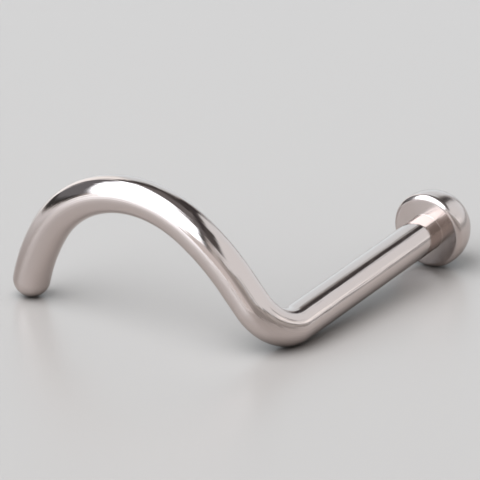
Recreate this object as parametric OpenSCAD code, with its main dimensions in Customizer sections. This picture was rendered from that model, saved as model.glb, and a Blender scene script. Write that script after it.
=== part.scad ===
// Nose screw: a domed head on a straight post, a quarter bend and an open hook, all one piece of
// polished wire. It lies on a surface as it would by itself, on the head's rim, the outside of
// the bend and the tip. Millimetres, +Z up, origin under the middle of the outline.

/* [Wire] */
// Thickness of the wire, 18 gauge
wire_d = 1.0; // [0.8:0.05:1.2]

/* [Head] */
// Width across the head
head_d = 2.06; // [1.8:0.02:2.6]
// Radius of the head's rounded rim
rim_r = 0.15; // [0.1:0.01:0.3]
// Slope of the cone behind the rim, in degrees
back_slope = 3; // [1:1:20]
// Straight wall between the rim and the dome
head_wall = 0.13; // [0.05:0.01:0.5]

/* [Post] */
// Length of the straight post, from the rim's centre to the bend
post_l = 6.54; // [5.5:0.02:8]
// Radius of the quarter bend, to the middle of the wire
bend_r = 1.0; // [0.8:0.05:1.3]
// Short straight between the bend and the hook
elbow_l = 0.75; // [0.4:0.05:1.2]

/* [Hook] */
// Radius of the hook's first arc
lead_r = 5.9; // [5:0.1:7]
// Turn of the hook's first arc, in degrees
lead_a = 17.5; // [14:0.5:24]
// Radius of the hook's round top, which makes a quarter turn
crown_r = 3.15; // [2.8:0.05:3.4]
// Radius of the hook's last arc
tail_r = 5.7; // [5:0.1:7]
// Turn of the hook's last arc, in degrees
tail_a = 18; // [14:0.5:24]

/* [Lie] */
// Compass direction of the post, from head to bend, in degrees from +X
heading = 236.7; // [0:0.1:359.9]

/* [Hidden] */
$fn = 72;
steel = "silver";
quarter_turn = 90;
wire_r = wire_d / 2;
head_r = head_d / 2;
rim_centre = head_r - rim_r;

// Where a round stretch starts at a free angle, it begins a little inside the stretch before it
// and is thinner by a hair, so that two round surfaces never lie in each other
lap = 0.05;
hair = 0.004;
hook_d = wire_d - hair;
tip_d = hook_d - hair;

// Directions of the wire in the hook's plane after the first, second and third arc
turn_1 = lead_a;
turn_2 = turn_1 + quarter_turn;
turn_3 = turn_2 + tail_a;

// The tip's place in the hook's plane: out from the post, and across it
tip_out = bend_r + elbow_l + lead_r * sin(turn_1)
    + crown_r * (sin(turn_2) - sin(turn_1)) + tail_r * (sin(turn_3) - sin(turn_2));
tip_across = lead_r * (1 - cos(turn_1))
    + crown_r * (cos(turn_1) - cos(turn_2)) + tail_r * (cos(turn_2) - cos(turn_3));

// Height of the rim's centre when the rim stands on the surface and the post dips by tilt
function rim_height(tilt) = rim_centre * cos(tilt) + rim_r;

// Turn about the post, from straight up, that sets the tip down on the surface
function roll_at(tilt) =
    let (drop = (wire_r - rim_height(tilt) + (post_l + bend_r) * sin(tilt)) / cos(tilt))
    acos(drop / norm([tip_across, tip_out])) - atan2(tip_across, tip_out);

// Dip of the post that sets the outside of the bend down on the surface
function next_tilt(tilt) =
    let (sag = bend_r * sin(tilt), rise = bend_r * cos(roll_at(tilt)) * cos(tilt))
    asin((rim_height(tilt) + rise - norm([sag, rise]) - wire_r) / post_l);

// Head, bend and tip touch together when the two conditions above hold at once
function settle(tilt, steps) = steps == 0 ? tilt : settle(next_tilt(tilt), steps - 1);
rest_tilt = settle(5, 20);
rest_roll = roll_at(rest_tilt);

// Middle of the outline seen from above, from the rim's centre
middle_x = -4.913;
middle_y = -2.7;

// A straight stretch of wire, with what follows it at its end
module run(length, thickness = wire_d) {
    cylinder(h = length, d = thickness);
    translate([0, 0, length]) children();
}

// An arc of wire that bends towards +X, with what follows it at its end
module bend(radius, angle, thickness = wire_d) {
    translate([radius, 0, 0]) rotate([90, 0, 180]) rotate_extrude(angle = angle)
        translate([radius, 0]) circle(d = thickness);
    translate([radius, 0, 0]) rotate([0, angle, 0]) translate([-radius, 0, 0]) children();
}

// Dome, rounded rim and back cone, turned about the post, with the dome towards -Z
module head() {
    tangent = [rim_centre + rim_r * sin(back_slope), rim_r * cos(back_slope)];
    cone_top = tangent.y + tangent.x * tan(back_slope);
    rotate_extrude() {
        intersection() {
            translate([0, -head_wall]) circle(r = head_r);
            translate([0, -head_wall - head_r]) square(head_r);
        }
        translate([0, -head_wall]) square([head_r, head_wall]);
        translate([rim_centre, 0]) circle(r = rim_r);
        polygon([[0, -head_wall], [rim_centre, -head_wall], [rim_centre, 0], tangent, [0, cone_top]]);
    }
}

// Three arcs in one plane, and a ball whose outer half rounds off the tip
module hook() {
    bend(lead_r, lead_a) translate([0, 0, -lap]) run(lap, hook_d)
        bend(crown_r, quarter_turn, hook_d) bend(tail_r, tail_a, hook_d) sphere(d = tip_d);
}

// The whole jewel, along +Z from the head
module nose_screw() {
    color(steel)
        translate([-middle_x, -middle_y, rim_height(rest_tilt)])
        rotate([0, 90 + rest_tilt, heading])
        rotate([0, 0, 180 + rest_roll]) {
            head();
            run(post_l) bend(bend_r, quarter_turn) run(elbow_l) rotate([0, 0, quarter_turn]) hook();
        }
}

nose_screw();
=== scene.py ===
import math

import bpy
import numpy as np
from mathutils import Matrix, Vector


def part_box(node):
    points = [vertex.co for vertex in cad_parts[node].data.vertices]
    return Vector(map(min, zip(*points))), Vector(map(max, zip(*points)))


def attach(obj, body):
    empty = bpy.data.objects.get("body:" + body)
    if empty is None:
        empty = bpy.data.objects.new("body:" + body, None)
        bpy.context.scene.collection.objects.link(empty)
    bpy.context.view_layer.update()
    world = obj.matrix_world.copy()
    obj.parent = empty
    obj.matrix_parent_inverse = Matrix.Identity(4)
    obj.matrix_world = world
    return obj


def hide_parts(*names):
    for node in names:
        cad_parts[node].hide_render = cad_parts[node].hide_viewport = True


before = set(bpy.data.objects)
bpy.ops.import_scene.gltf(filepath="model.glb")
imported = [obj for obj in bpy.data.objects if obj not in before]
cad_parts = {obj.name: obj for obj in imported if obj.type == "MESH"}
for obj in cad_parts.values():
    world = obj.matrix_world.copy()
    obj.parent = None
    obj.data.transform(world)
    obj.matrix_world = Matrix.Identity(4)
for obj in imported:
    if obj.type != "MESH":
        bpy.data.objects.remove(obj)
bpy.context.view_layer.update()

# Sizes of the jewel in millimetres, the same ones that its solid is built from
MM = 0.001
WIRE_R = 0.5
HEAD_R = 1.03
RIM_R = 0.15
BACK_SLOPE = math.radians(3)
HEAD_WALL = 0.13
POST_L = 6.54
BEND_R = 1.0
ELBOW_L = 0.75
LEAD_R = 5.9
LEAD_TURN = math.radians(17.5)
CROWN_R = 3.15
TAIL_R = 5.7
TAIL_TURN = math.radians(18)
QUARTER = math.pi / 2
HEADING = math.radians(236.7)
WELD_R = 0.006  # the tiny fillet where the head meets the post

# Fineness of the surface: points round the wire, the longest step along it in mm, and the rings
# of the head's parts and of the round tip
AROUND = 120
STEP = 0.06
DOME_RINGS = 56
WALL_RINGS = 10
RIM_RINGS = 30
CONE_RINGS = 12
WELD_RINGS = 8
TIP_RINGS = 28
CONE_END = 0.985  # place of the cone's last ring, close to the weld, as a share of its width

# The sum that finds how the jewel lies: first guess of the post's dip, and rounds
FIRST_DIP = 0.08
ROUNDS = 40

# Finish of the steel
STEEL = (0.58, 0.505, 0.475)
HAIR_SCALE = 14  # fineness of the hairlines round the wire
HAIR_ALONG = 0.03  # how fast they change along it, per mm
HAIR_DEEP = 4.2e-6  # depth in metres
WAVE_SCALE = 700
WAVE_DEEP = 4e-6  # depth in metres
WEAR_SCALE = 900  # fineness of the worn patches
BEST_ROUGH = 0.03
WORN_ROUGH = 0.07
HAIR_ROUGH = 0.05  # what a hairline adds
HEAD_ROUGH = 0.16  # what the head's softer polish adds
HEAD_HAIR = 0.15  # how much of the hairlines' depth the head has
HEAD_FADE = (1.2, 1.6)  # where the head's polish turns into the wire's, mm from the dome's pole

# Floor: its tone, the painted light and painted shade that make it paler far on the left and darker
# on the right, between two places along X in mm, and the shade painted round the jewel
FLOOR_R = 2  # metres
FLOOR_SIDES = 96
FLOOR_TONE = (0.455, 0.406, 0.375)
FLOOR_ROUGH = 0.3
FLOOR_IOR = 1.36
# painted light: a paler tone that the floor takes far on the left
LEFT_PAINTED_LIGHT = (0.90, 0.85, 0.82)
LEFT_LIGHT_FADE = (-9, -26)
# painted shade: a dark tone that the floor takes far on the right
RIGHT_PAINTED_SHADE = (0.08, 0.075, 0.07)
RIGHT_SHADE_FADE = (14, 32)
# painted shade: the dark tone that the floor's colour takes where the jewel hides it from the sky
SHADE_TONE = (0.02, 0.018, 0.018)
SHADE_REACH = 2.8  # mm
SHADE_SAMPLES = 16
SHADE_END = 0.8  # openness at which the floor has its full tone
SHADE_LEAST = 0.15  # share of its tone that it keeps in the darkest place

# Studio panels: flat, one metre from the jewel, seen as distances on the panel's own plane. The
# columns are the direction that the plane faces (azimuth and elevation, degrees), its roll, its
# left, right, bottom and top edge in metres, the softness of the edges and the brightness. A later
# panel hides an earlier one.
PANELS = (
    # backdrop, bright on the left and plain on the right
    (-12, 0, 0, -0.45, 0.00, -0.3, 1.04, 0.06, (1.42, 1.45, 1.46)),
    (-12, 0, 0, -0.02, 0.65, -0.3, 1.02, 0.09, (0.98, 1.08, 1.14)),
    # dark gap between the soft box and the backdrop, and its darkest part low down
    (-60, 0, 0, -0.80, 0.49, 0.07, 1.2, 0.05, (0.22, 0.23, 0.25)),
    (-60, 0, 0, -0.90, 0.49, 0.03, 0.18, 0.03, (0.06, 0.06, 0.06)),
    # light patch behind the camera, below the soft box
    (-150, 0, 0, -0.40, 1.30, -0.5, 0.46, 0.25, (0.90, 0.88, 0.88)),
    # grey ceiling
    (0, 90, 0, -0.50, 0.45, -0.50, 1.30, 0.15, (0.22, 0.215, 0.22)),
    # right wall: a near part that reaches far down, and a far part whose lower edge climbs
    (102, 0, 0, -3.8, -0.45, 0.06, 1.62, 0.05, (1.02, 1.09, 1.14)),
    (102, 0, 0, -0.55, 0.30, 0.40, 1.62, 0.05, (1.05, 1.10, 1.14)),
    (102, 0, 25, -0.50, 4.5, 0.30, 1.30, 0.03, (1.05, 1.10, 1.14)),
    # along the wall's lower edge: a bright strip, a dark line under it, a grey line over it and a
    # grey band below them
    (102, 0, 25, -0.39, 0.15, 0.37, 0.50, 0.05, (1.7, 1.7, 1.7)),
    (102, 0, 25, -0.45, 4.5, 0.26, 0.30, 0.03, (0.02, 0.02, 0.02)),
    (102, 0, 25, -0.26, 0.02, 0.60, 0.68, 0.04, (0.30, 0.30, 0.30)),
    (102, 0, 25, -0.45, 4.5, 0.02, 0.22, 0.04, (0.62, 0.61, 0.60)),
    # dark corner between the backdrop and the right wall
    (102, 0, 42, -1.5, 1.5, 2.45, 5.5, 0.25, (0.06, 0.055, 0.06)),
    # dark borders of the ceiling, above the wall and above the backdrop
    (102, 0, 0, -2.2, 1.10, 1.70, 2.45, 0.16, (0.08, 0.075, 0.08)),
    (175, 20, -51, -3.5, -0.46, 0.08, 0.30, 0.05, (0.12, 0.115, 0.115)),
    (0, 90, 0, -0.60, 0.60, -0.92, -0.50, 0.06, (0.08, 0.075, 0.075)),
    (0, 90, 0, 0.16, 0.60, -0.92, -0.30, 0.12, (0.08, 0.075, 0.075)),
    # narrow light and dark strips beside the soft box
    (-112, 38, 0, -1.30, -1.10, 0.00, 0.90, 0.08, (0.70, 0.70, 0.70)),
    (-112, 38, 0, -1.06, -0.90, -0.10, 0.80, 0.06, (0.10, 0.10, 0.10)),
    # big soft box on the left: upper and middle part, and two leaning parts, narrower downwards
    (-112, 38, 0, -0.93, 0.76, 0.33, 0.96, 0.06, (3.30, 3.65, 3.95)),
    (-112, 38, 0, -0.93, 0.45, -0.05, 0.40, 0.06, (3.30, 3.65, 3.95)),
    (-112, 38, -32, -0.15, 0.48, -0.75, 0.70, 0.06, (3.30, 3.65, 3.95)),
    (-112, 38, 34, -0.80, -0.15, -0.60, 0.48, 0.06, (3.30, 3.65, 3.95)),
)
SURROUND = (0.40, 0.385, 0.375)
NEARLY_SIDEWAYS = 1e-4  # keeps a look along a panel's plane from being divided by nought

# The camera stands in front and above, and looks along +Y. Its aim and its distance are in mm, its
# lens and sensor in the camera's own mm, and its near and far limits in metres
CAMERA_FALL = math.radians(20.58)
CAMERA_AWAY = 132.117
CAMERA_LENS = 375
CAMERA_SENSOR = 36
CAMERA_NEAR = 0.01
CAMERA_FAR = 20
AIM = np.array([-0.088, 2.541, 0.801])


def rim_height(dip):
    """Height of the rim's centre when the rim stands on the surface and the post dips."""
    return (HEAD_R - RIM_R) * math.cos(dip) + RIM_R


def rest_angles():
    """Dip of the post and its turn about its axis, when rim, bend and tip all touch the surface.

    The rim's lowest point, the lowest point of the bend's outside and the ball of the tip give two
    conditions. They are solved by putting each new dip into them again until it no longer changes.
    """
    turns = np.cumsum([0, LEAD_TURN, QUARTER, TAIL_TURN])
    radii = np.array([LEAD_R, CROWN_R, TAIL_R])
    out = BEND_R + ELBOW_L + np.sum(radii * np.diff(np.sin(turns)))
    across = -np.sum(radii * np.diff(np.cos(turns)))
    dip = FIRST_DIP
    for _ in range(ROUNDS):
        rim_z = rim_height(dip)
        drop = (WIRE_R - rim_z + (POST_L + BEND_R) * math.sin(dip)) / math.cos(dip)
        turn = math.acos(drop / math.hypot(out, across)) - math.atan2(across, out)
        sag = BEND_R * math.sin(dip)
        rise = BEND_R * math.cos(turn) * math.cos(dip)
        dip = math.asin((rim_z + rise - math.hypot(sag, rise) - WIRE_R) / POST_L)
    return dip, turn


def held(places, ahead, side):
    """Frames at the given places that all keep one direction and one side."""
    count = len(places)
    return places, np.repeat(ahead[None], count, 0), np.repeat(side[None], count, 0)


def straight(start, length):
    """Frames along a straight stretch: the place moves along the direction, the side stays."""
    place, ahead, side = start
    s = np.linspace(0, length, max(2, math.ceil(length / STEP)) + 1)[:, None]
    return held(place + s * ahead, ahead, side)


def arc(start, radius, turn):
    """Frames along an arc that bends towards the side.

    The place is the start plus radius times (sine ahead, one less cosine sideways).
    """
    place, ahead, side = start
    a = np.linspace(0, turn, max(4, math.ceil(radius * turn / STEP)) + 1)[:, None]
    places = place + radius * (np.sin(a) * ahead + (1 - np.cos(a)) * side)
    return places, np.cos(a) * ahead + np.sin(a) * side, np.cos(a) * side - np.sin(a) * ahead


def last(frames):
    """The frame at the end of a stretch."""
    return tuple(f[-1] for f in frames)


def rolled(start, turn):
    """The same frame with its side turned about its direction."""
    place, ahead, side = start
    return place, ahead, math.cos(turn) * side + math.sin(turn) * np.cross(ahead, side)


def head_profile():
    """Radius and place along the post of the head's rings: dome, wall, round rim, back cone, weld.

    The dome is a quarter circle of the head's radius, the rim a circle of the rim's radius, and the
    weld a small circle that touches both the cone and the wire.
    """
    rise = np.linspace(0, QUARTER, DOME_RINGS)
    dome = np.stack([HEAD_R * np.sin(rise), -HEAD_WALL - HEAD_R * np.cos(rise)], 1)
    wall_y = np.linspace(-HEAD_WALL, 0, WALL_RINGS)[1:-1]
    wall = np.stack([np.full_like(wall_y, HEAD_R), wall_y], 1)
    lean = np.linspace(0, QUARTER - BACK_SLOPE, RIM_RINGS)
    rim = np.stack([HEAD_R - RIM_R + RIM_R * np.cos(lean), RIM_R * np.sin(lean)], 1)
    weld_x = WIRE_R + WELD_R
    edge = rim[-1]
    weld_y = edge[1] + (edge[0] - weld_x) * math.tan(BACK_SLOPE) + WELD_R / math.cos(BACK_SLOPE)
    sweep = np.linspace(QUARTER + BACK_SLOPE, math.pi, WELD_RINGS)
    weld = np.stack([weld_x + WELD_R * np.cos(sweep), weld_y - WELD_R * np.sin(sweep)], 1)
    share = np.append(np.linspace(0, 1, CONE_RINGS)[1:-1], CONE_END)[:, None]
    cone = edge + share * (weld[0] - edge)
    return np.concatenate([dome, wall, rim, cone, weld, weld[-1:] + [[0, WELD_R]]])


def jewel_rings():
    """Centres, two side directions and radii of all rings, from the dome's pole to the tip's pole.

    Each stretch starts from the frame at the end of the one before it. The tip's rings shrink as a
    half ball's do.
    """
    dip, turn = rest_angles()
    flat = math.cos(dip)
    ahead = np.array([flat * math.cos(HEADING), flat * math.sin(HEADING), -math.sin(dip)])
    up = np.array([0.0, 0.0, 1.0])
    upright = up - ahead * (up @ ahead)
    rim_centre = np.array([0.0, 0.0, rim_height(dip)])
    side = rolled((rim_centre, ahead, upright / np.linalg.norm(upright)), turn)[2]

    profile = head_profile()
    weld_end = profile[-1, 1]
    head = held(rim_centre + profile[:, 1:] * ahead, ahead, side)
    post = straight((rim_centre + weld_end * ahead, ahead, side), POST_L - weld_end)
    bend = arc(last(post), BEND_R, QUARTER)
    elbow = straight(last(bend), ELBOW_L)
    # The hook bends in the plane square to the post, so its side is a quarter turn further round
    lead = arc(rolled(last(elbow), QUARTER), LEAD_R, LEAD_TURN)
    crown = arc(last(lead), CROWN_R, QUARTER)
    tail = arc(last(crown), TAIL_R, TAIL_TURN)
    place, tip_ahead, tip_side = last(tail)
    shrink = np.linspace(0, QUARTER, TIP_RINGS)[1:]
    tip = held(place + WIRE_R * np.sin(shrink)[:, None] * tip_ahead, tip_ahead, tip_side)

    # A middle stretch leaves out its first ring, which is the last one of the stretch before it
    middle = [tuple(f[1:] for f in part) for part in (post, bend, elbow, lead, crown, tail)]
    stretches = [head, *middle, tip]
    places, aheads, sides = (np.concatenate(rows) for rows in zip(*stretches))
    across = np.cross(aheads, sides)
    # A ring of the hook starts a quarter turn earlier, so that its points meet the elbow's
    hook_start = sum(len(part[0]) for part in stretches[:4])
    in_hook = (np.arange(len(places)) >= hook_start)[:, None]
    first = np.where(in_hook, -across, sides)
    second = np.where(in_hook, sides, across)
    radii = np.full(len(places), WIRE_R)
    radii[:len(profile)] = profile[:, 0]
    radii[-len(shrink):] = WIRE_R * np.cos(shrink)
    return places, first, second, radii


def closed_tube(name, places, first, second, radii):
    """Piece made of rings, with one point at each end, moved so that it sits on the solid.

    A ring's point is its centre plus radius times (cosine first side, sine second side).
    """
    angle = np.linspace(0, 2 * math.pi, AROUND, endpoint=False)[None, :, None]
    rings = places[1:-1, None] + radii[1:-1, None, None] * (
        np.cos(angle) * first[1:-1, None] + np.sin(angle) * second[1:-1, None])
    points = np.concatenate([places[:1], rings.reshape(-1, 3), places[-1:]])
    cad_low, cad_high = (np.array(c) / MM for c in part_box("nose_screw"))
    shift = (cad_low + cad_high - points.min(0) - points.max(0)) / 2
    points += [shift[0], shift[1], 0]

    j = np.arange(AROUND)
    k = np.arange(len(rings) - 1)[:, None]
    here = 1 + k * AROUND + j
    beside = 1 + k * AROUND + (j + 1) % AROUND
    quads = np.stack([here, beside, beside + AROUND, here + AROUND], -1).reshape(-1, 4)
    ring_end = 1 + (len(rings) - 1) * AROUND
    cap_a = np.stack([np.zeros_like(j), 1 + (j + 1) % AROUND, 1 + j], 1)
    tip_end = np.full_like(j, len(points) - 1)
    cap_b = np.stack([tip_end, ring_end + j, ring_end + (j + 1) % AROUND], 1)
    faces = cap_a.tolist() + quads.tolist() + cap_b.tolist()
    mesh = bpy.data.meshes.new(name)
    mesh.from_pydata((points * MM).tolist(), [], faces)
    mesh.polygons.foreach_set("use_smooth", np.ones(len(mesh.polygons), dtype=bool))

    along = np.concatenate([[0], np.cumsum(np.linalg.norm(np.diff(places, axis=0), axis=1))])
    uv = mesh.uv_layers.new(name="along_and_around")
    uv.data.foreach_set("uv", tube_map(along, j).ravel())
    mesh.update()
    piece = bpy.data.objects.new(name, mesh)
    bpy.context.collection.objects.link(piece)
    return piece


def tube_map(along, j):
    """Map of a closed tube's corners: distance along the wire in mm, and share of a turn about it."""
    def corners(*pairs):
        grids = [np.stack(np.broadcast_arrays(u, v), -1) for u, v in pairs]
        return np.stack(grids, -2).reshape(-1, 2)

    near = along[1:-2, None]
    far = along[2:-1, None]
    cap_a = corners((0, j + 0.5), (along[1], j + 1), (along[1], j))
    quads = corners((near, j), (near, j + 1), (far, j + 1), (far, j))
    cap_b = corners((along[-1], j + 0.5), (along[-2], j), (along[-2], j + 1))
    return np.concatenate([cap_a, quads, cap_b]) / [1, AROUND]


def new_material(name):
    """A material with its tree and shader."""
    material = bpy.data.materials.new(name)
    material.use_nodes = True
    tree = material.node_tree
    return material, tree, tree.nodes["Principled BSDF"]


def reckon(tree, operation, *values):
    """Output of a Math node whose inputs are numbers or other nodes' outputs."""
    node = tree.nodes.new("ShaderNodeMath")
    node.operation = operation
    for socket, value in zip(node.inputs, values):
        if isinstance(value, (int, float)):
            socket.default_value = value
        else:
            tree.links.new(value, socket)
    return node.outputs[0]


def spread(tree, value, low, high, to_low=0, to_high=1, kind="LINEAR"):
    """Output that goes from to_low to to_high as the value goes from low to high, then stays."""
    node = tree.nodes.new("ShaderNodeMapRange")
    node.interpolation_type = kind
    node.inputs["From Min"].default_value = low
    node.inputs["From Max"].default_value = high
    node.inputs["To Min"].default_value = to_low
    node.inputs["To Max"].default_value = to_high
    tree.links.new(value, node.inputs["Value"])
    return node.outputs["Result"]


def blend(tree, share, first, second):
    """Output with the second colour as far as the share goes, and the first for the rest."""
    node = tree.nodes.new("ShaderNodeMix")
    node.data_type = "RGBA"
    tree.links.new(share, node.inputs["Factor"])
    for socket, colour in ((node.inputs[6], first), (node.inputs[7], second)):
        if isinstance(colour, tuple):
            socket.default_value = (*colour, 1)
        else:
            tree.links.new(colour, socket)
    return node.outputs[2]


def noise(tree, vector, scale, detail):
    """Output of a noise pattern."""
    node = tree.nodes.new("ShaderNodeTexNoise")
    node.inputs["Scale"].default_value = scale
    node.inputs["Detail"].default_value = detail
    tree.links.new(vector, node.inputs["Vector"])
    return node.outputs["Fac"]


def bump(tree, height, depth):
    """A Bump node that raises the surface by the height times the depth."""
    node = tree.nodes.new("ShaderNodeBump")
    node.inputs["Distance"].default_value = depth
    tree.links.new(height, node.inputs["Height"])
    return node


def polished_steel():
    """Mirror-polished steel: warm grey, with worn patches, hairlines along it and a duller head.

    The map's first coordinate is the distance along the wire in millimetres, its second the turn
    about it. Hairlines are noise that runs on slowly along the wire and changes fast about it.
    """
    material, tree, shader = new_material("polished_steel")
    shader.inputs["Base Color"].default_value = (*STEEL, 1)
    shader.inputs["Metallic"].default_value = 1
    nodes, links = tree.nodes, tree.links
    coords = nodes.new("ShaderNodeTexCoord")
    split = nodes.new("ShaderNodeSeparateXYZ")
    links.new(coords.outputs["UV"], split.inputs[0])
    along = split.outputs["X"]
    turn = reckon(tree, "MULTIPLY", split.outputs["Y"], 2 * math.pi)
    hair_place = nodes.new("ShaderNodeCombineXYZ")
    links.new(reckon(tree, "MULTIPLY", along, HAIR_ALONG), hair_place.inputs["X"])
    links.new(reckon(tree, "COSINE", turn), hair_place.inputs["Y"])
    links.new(reckon(tree, "SINE", turn), hair_place.inputs["Z"])
    hairs = noise(tree, hair_place.outputs[0], HAIR_SCALE, 3)
    wear = noise(tree, coords.outputs["Object"], WEAR_SCALE, 5)
    waves = noise(tree, coords.outputs["Object"], WAVE_SCALE, 1)

    rough = spread(tree, wear, 0.3, 0.7, BEST_ROUGH, WORN_ROUGH)
    rough = reckon(tree, "ADD", rough, spread(tree, hairs, 0.55, 0.75, 0, HAIR_ROUGH))
    rough = reckon(tree, "ADD", rough, spread(tree, along, *HEAD_FADE, HEAD_ROUGH, 0))
    links.new(rough, shader.inputs["Roughness"])

    bump_wave = bump(tree, waves, WAVE_DEEP)
    bump_hair = bump(tree, hairs, HAIR_DEEP)
    links.new(spread(tree, along, *HEAD_FADE, HEAD_HAIR, 1), bump_hair.inputs["Strength"])
    links.new(bump_wave.outputs["Normal"], bump_hair.inputs["Normal"])
    links.new(bump_hair.outputs["Normal"], shader.inputs["Normal"])
    return material


def pale_floor():
    """Pale sheet, soft gloss, with painted light on the left and painted shade on the right and at
    the jewel.

    The tone, with its painted light and shade, changes along X alone. The painted shade at the jewel
    follows an occlusion node, which tells how open each place on the floor is to the sky.
    """
    material, tree, shader = new_material("pale_floor")
    coords = tree.nodes.new("ShaderNodeTexCoord")
    split = tree.nodes.new("ShaderNodeSeparateXYZ")
    tree.links.new(coords.outputs["Object"], split.inputs[0])
    x = split.outputs["X"]
    # Painted light: the floor turns paler far on the left
    to_left_light = spread(tree, x, LEFT_LIGHT_FADE[0] * MM, LEFT_LIGHT_FADE[1] * MM)
    # Painted shade: the floor turns darker far on the right
    to_right_shade = spread(tree, x, RIGHT_SHADE_FADE[0] * MM, RIGHT_SHADE_FADE[1] * MM)
    tone = blend(tree, to_left_light, FLOOR_TONE, LEFT_PAINTED_LIGHT)
    tone = blend(tree, to_right_shade, tone, RIGHT_PAINTED_SHADE)
    # Painted shade: the base colour darkens where the steel hides the floor from the sky
    sky = tree.nodes.new("ShaderNodeAmbientOcclusion")
    sky.inputs["Distance"].default_value = SHADE_REACH * MM
    sky.samples = SHADE_SAMPLES
    lit = spread(tree, sky.outputs["AO"], 0, SHADE_END, SHADE_LEAST, 1)
    tree.links.new(blend(tree, lit, SHADE_TONE, tone), shader.inputs["Base Color"])
    shader.inputs["Roughness"].default_value = FLOOR_ROUGH
    shader.inputs["IOR"].default_value = FLOOR_IOR
    return material


def floor():
    """A wide pale disc that the jewel lies on."""
    turn = np.linspace(0, 2 * math.pi, FLOOR_SIDES, endpoint=False)
    points = np.stack([FLOOR_R * np.cos(turn), FLOOR_R * np.sin(turn), 0 * turn], 1)
    mesh = bpy.data.meshes.new("floor")
    mesh.from_pydata(points.tolist(), [], [list(range(FLOOR_SIDES))])
    mesh.materials.append(pale_floor())
    ground = bpy.data.objects.new("floor", mesh)
    bpy.context.collection.objects.link(ground)


def direction(azimuth, elevation):
    """Unit vector towards a compass direction and a height, in degrees.

    Azimuth 0 points away from the camera and 90 to the right.
    """
    a, e = math.radians(azimuth), math.radians(elevation)
    return np.array([math.sin(a) * math.cos(e), math.cos(a) * math.cos(e), math.sin(e)])


def studio():
    """World light: each panel is a soft-edged rectangle on a plane square to its direction.

    A look meets the plane at (across, up) divided by its part along the plane's direction.
    """
    world = bpy.data.worlds.new("studio")
    bpy.context.scene.world = world
    world.use_nodes = True
    tree = world.node_tree
    tree.nodes.clear()
    output = tree.nodes.new("ShaderNodeOutputWorld")
    background = tree.nodes.new("ShaderNodeBackground")
    tree.links.new(background.outputs[0], output.inputs[0])
    look = tree.nodes.new("ShaderNodeTexCoord").outputs["Generated"]

    def dot(vector):
        node = tree.nodes.new("ShaderNodeVectorMath")
        node.operation = "DOT_PRODUCT"
        node.inputs[1].default_value = tuple(float(c) for c in vector)
        tree.links.new(look, node.inputs[0])
        return node.outputs["Value"]

    light = SURROUND
    for azimuth, elevation, roll, left, right, bottom, top, soft, colour in PANELS:
        ahead = direction(azimuth, elevation)
        across = direction(azimuth + 90, 0)
        up = np.cross(across, ahead)
        c, s = math.cos(math.radians(roll)), math.sin(math.radians(roll))
        across, up = c * across + s * up, c * up - s * across
        forward = dot(ahead)
        reach = reckon(tree, "MAXIMUM", forward, NEARLY_SIDEWAYS)
        x = reckon(tree, "DIVIDE", dot(across), reach)
        y = reckon(tree, "DIVIDE", dot(up), reach)
        mask = reckon(tree, "GREATER_THAN", forward, 0)
        for value, low, high in ((x, left, right), (y, bottom, top)):
            for edge, before, after in ((low, 0, 1), (high, 1, 0)):
                ramp = spread(tree, value, edge - soft, edge + soft, before, after, "SMOOTHSTEP")
                mask = reckon(tree, "MULTIPLY", mask, ramp)
        light = blend(tree, mask, light, colour)
    tree.links.new(light, background.inputs["Color"])


def camera():
    """A long lens aimed at the middle of the picture."""
    data = bpy.data.cameras.new("camera")
    data.lens = CAMERA_LENS
    data.sensor_width = CAMERA_SENSOR
    data.clip_start = CAMERA_NEAR
    data.clip_end = CAMERA_FAR
    eye = bpy.data.objects.new("camera", data)
    back = np.array([0, -math.cos(CAMERA_FALL), math.sin(CAMERA_FALL)])
    eye.location = (AIM + CAMERA_AWAY * back) * MM
    eye.rotation_euler = (QUARTER - CAMERA_FALL, 0, 0)
    bpy.context.collection.objects.link(eye)
    bpy.context.scene.camera = eye


camera()
studio()
floor()
jewel = closed_tube("polished_wire_jewel", *jewel_rings())
jewel.data.materials.append(polished_steel())
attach(jewel, "root")
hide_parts("nose_screw")
bpy.context.scene.view_settings.view_transform = "Standard"
